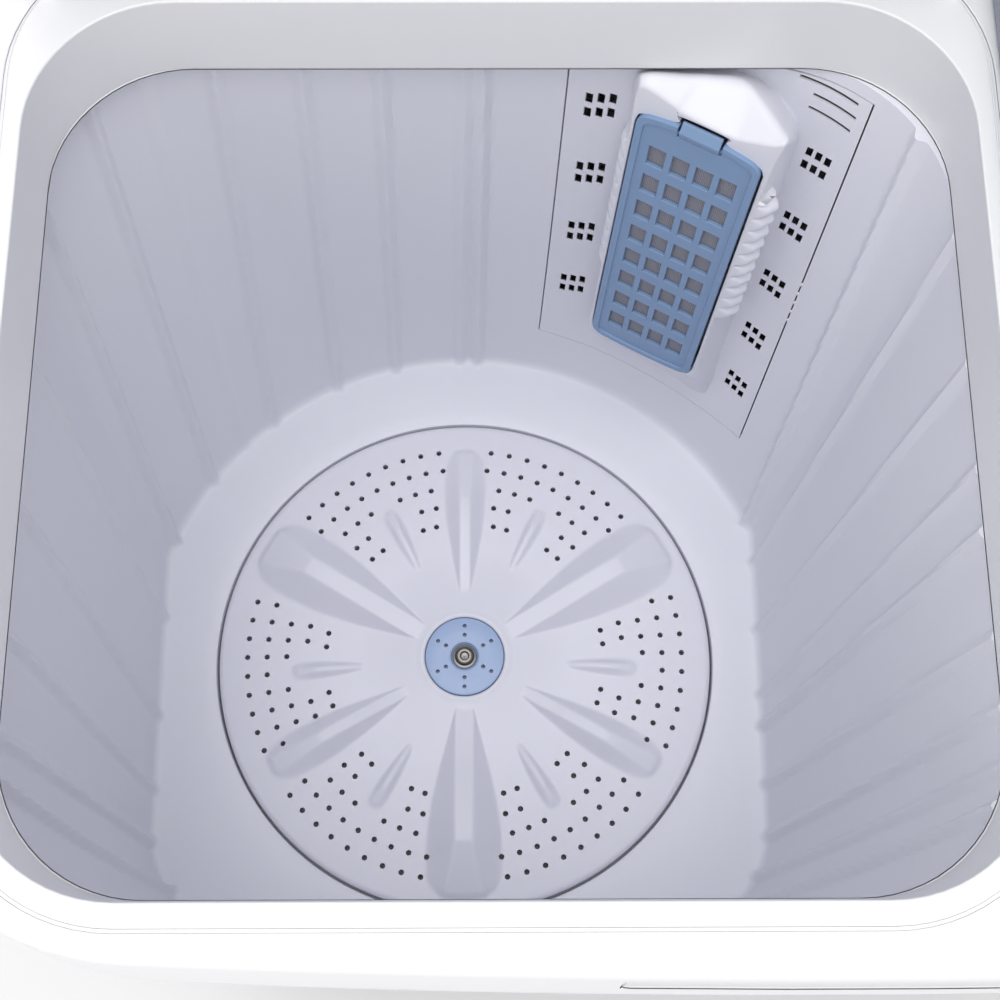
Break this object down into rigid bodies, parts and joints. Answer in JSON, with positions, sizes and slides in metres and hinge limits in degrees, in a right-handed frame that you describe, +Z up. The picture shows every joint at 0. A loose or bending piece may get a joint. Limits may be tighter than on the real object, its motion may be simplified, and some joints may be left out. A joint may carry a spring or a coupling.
{
  "type": "twin tub washing machine",
  "caption": "Twin tub washing machine with an open wash tub, pulsator, lint filter, spin basket, hinged lids and turning controls.",
  "frame": {"origin": "on the floor, under the middle of the machine's outline, water spigots included", "axes": "+X to the right as seen by the person who uses it, +Y to the back, +Z up"},
  "size_m": [0.75, 0.5069, 1.1425],
  "materials": {
    "body_white": "moulded plastic, satin, fine even grain",
    "deck_white": "moulded plastic, satin gloss",
    "tub_lilac": "moulded plastic, satin, faint lilac grey",
    "pulsator_pale": "moulded plastic, satin",
    "filter_blue": "moulded plastic, dusty blue",
    "cap_blue": "moulded plastic, pale blue",
    "lint_net": "fine woven nylon net",
    "dark_rubber": "moulded rubber",
    "grey_hose": "smooth plastic hose",
    "bright_steel": "turned steel",
    "zinc_steel": "zinc plated sheet and wire",
    "cast_alloy": "die casting",
    "motor_paint": "sprayed paint",
    "base_grey": "moulded plastic",
    "basket_alloy": "spun and pierced steel",
    "face_grey": "plain plate",
    "knob_blue": "moulded plastic",
    "lid_clear": "moulded plastic, slightly smoky"
  },
  "bodies": {
    "machine": {"feet": "dark_rubber", "base": "base_grey", "cabinet": "body_white", "rear_cover": "body_white", "cable_gland": "dark_rubber", "deck": "deck_white", "wash_tub": "tub_lilac", "spin_tub": "tub_lilac", "bellows_seal": "dark_rubber", "filter_panel": "tub_lilac", "tub_seal": "dark_rubber", "gearbox": "cast_alloy", "drive_belt": "dark_rubber", "wash_motor": "motor_paint", "wash_motor_bracket": "zinc_steel", "capacitors": "zinc_steel", "capacitor_clips": "zinc_steel", "drain_duct": "base_grey", "drain_valve": "base_grey", "drain_hose": "grey_hose", "spin_drain_pipe": "grey_hose", "outlet_spigot": "base_grey", "fill_chutes": "base_grey", "spin_motor": "motor_paint", "motor_damper_sleeves": "dark_rubber", "control_console": "deck_white", "control_face": "face_grey", "timers": "base_grey", "inlet_channel": "base_grey", "lid_switch": "base_grey"},
    "pulsator_set": {"pulsator": "pulsator_pale", "pulsator_cap": "cap_blue", "pulsator_screw": "bright_steel", "wash_shaft": "bright_steel"},
    "gear_input": {"input_shaft": "bright_steel", "big_pulley": "cast_alloy"},
    "motor_drive": {"wash_motor_shaft": "bright_steel", "motor_pulley": "cast_alloy"},
    "basket_set": {"spin_basket": "basket_alloy", "spin_hub": "cast_alloy", "spin_hub_bolt": "bright_steel", "spin_shaft": "bright_steel", "brake_drum": "cast_alloy"},
    "brake_arm": {"brake_lever": "zinc_steel"},
    "wash_cover": {"wash_lid": "lid_clear", "wash_lid_pins": "bright_steel"},
    "spin_cover": {"spin_lid": "lid_clear", "spin_lid_pins": "bright_steel"},
    "filter_set": {"filter_frame": "filter_blue", "filter_mesh": "lint_net"},
    "filter_catch": {"filter_latch": "filter_blue"},
    "wash_dial": {"wash_timer_knob": "knob_blue"},
    "spin_dial": {"spin_timer_knob": "knob_blue"},
    "mode_dial": {"mode_knob": "knob_blue", "mode_crank": "base_grey"},
    "drain_rod": {"drain_plunger": "dark_rubber", "drain_pull_rod": "zinc_steel"},
    "selector": {"water_selector": "knob_blue"}
  },
  "joints": [
    {"name": "wash_lid_hinge", "type": "hinge", "parent": "machine", "child": "wash_cover", "pos_m": [-0.13, 0.154, 0.762], "axis": [1, 0, 0], "range_deg": [0, 95]},
    {"name": "spin_lid_hinge", "type": "hinge", "parent": "machine", "child": "spin_cover", "pos_m": [0.2065, 0.154, 0.762], "axis": [1, 0, 0], "range_deg": [-95, 0]},
    {"name": "brake_swing", "type": "hinge", "parent": "machine", "child": "brake_arm", "pos_m": [0.272, -0.005, 0.251], "axis": [0, 0, 1], "range_deg": [-2.6, 0]},
    {"name": "pulsator_spin", "type": "hinge", "parent": "machine", "child": "pulsator_set", "pos_m": [-0.1509, -0.0624, 0.36], "axis": [0, 0, 1], "continuous": true},
    {"name": "gear_input_spin", "type": "hinge", "parent": "machine", "child": "gear_input", "pos_m": [-0.1509, -0.0624, 0.26], "axis": [0, 0, 1], "continuous": true},
    {"name": "motor_spin", "type": "hinge", "parent": "machine", "child": "motor_drive", "pos_m": [0.01, 0.065, 0.25], "axis": [0, 0, 1], "continuous": true},
    {"name": "basket_spin", "type": "hinge", "parent": "machine", "child": "basket_set", "pos_m": [0.217, -0.045, 0.35], "axis": [0, 0, 1], "continuous": true},
    {"name": "wash_timer_turn", "type": "hinge", "parent": "machine", "child": "wash_dial", "pos_m": [-0.235, 0.19402, 0.79774], "axis": [0, -0.9744, 0.225], "range_deg": [-300, 0]},
    {"name": "spin_timer_turn", "type": "hinge", "parent": "machine", "child": "spin_dial", "pos_m": [0.225, 0.19402, 0.79774], "axis": [0, -0.9744, 0.225], "range_deg": [-300, 0]},
    {"name": "mode_turn", "type": "hinge", "parent": "machine", "child": "mode_dial", "pos_m": [-0.07, 0.19402, 0.79774], "axis": [0, -0.9744, 0.225], "range_deg": [-90, 0]},
    {"name": "drain_lift", "type": "slide", "parent": "machine", "child": "drain_rod", "axis": [0, 0, 1], "range_m": [0, 0.01]},
    {"name": "selector_slide", "type": "slide", "parent": "machine", "child": "selector", "axis": [1, 0, 0], "range_m": [0, 0.03]},
    {"name": "filter_tilt", "type": "hinge", "parent": "machine", "child": "filter_set", "pos_m": [-0.04505, 0.10344, 0.47665], "axis": [0.8829, -0.4695, 0], "range_deg": [0, 25]},
    {"name": "filter_latch_press", "type": "hinge", "parent": "filter_set", "child": "filter_catch", "pos_m": [-0.03894, 0.11492, 0.67979], "axis": [0.8829, -0.4695, 0], "range_deg": [-12, 0], "stiffness_Nm_per_rad": 0.05}
  ],
  "couplings": [
    {"joint": "brake_swing", "follows": "spin_lid_hinge", "ratio": 0.027},
    {"joint": "gear_input_spin", "follows": "pulsator_spin", "ratio": 4},
    {"joint": "motor_spin", "follows": "pulsator_spin", "ratio": 14.87},
    {"joint": "drain_lift", "follows": "mode_turn", "m_per_rad": -0.006366}
  ]
}
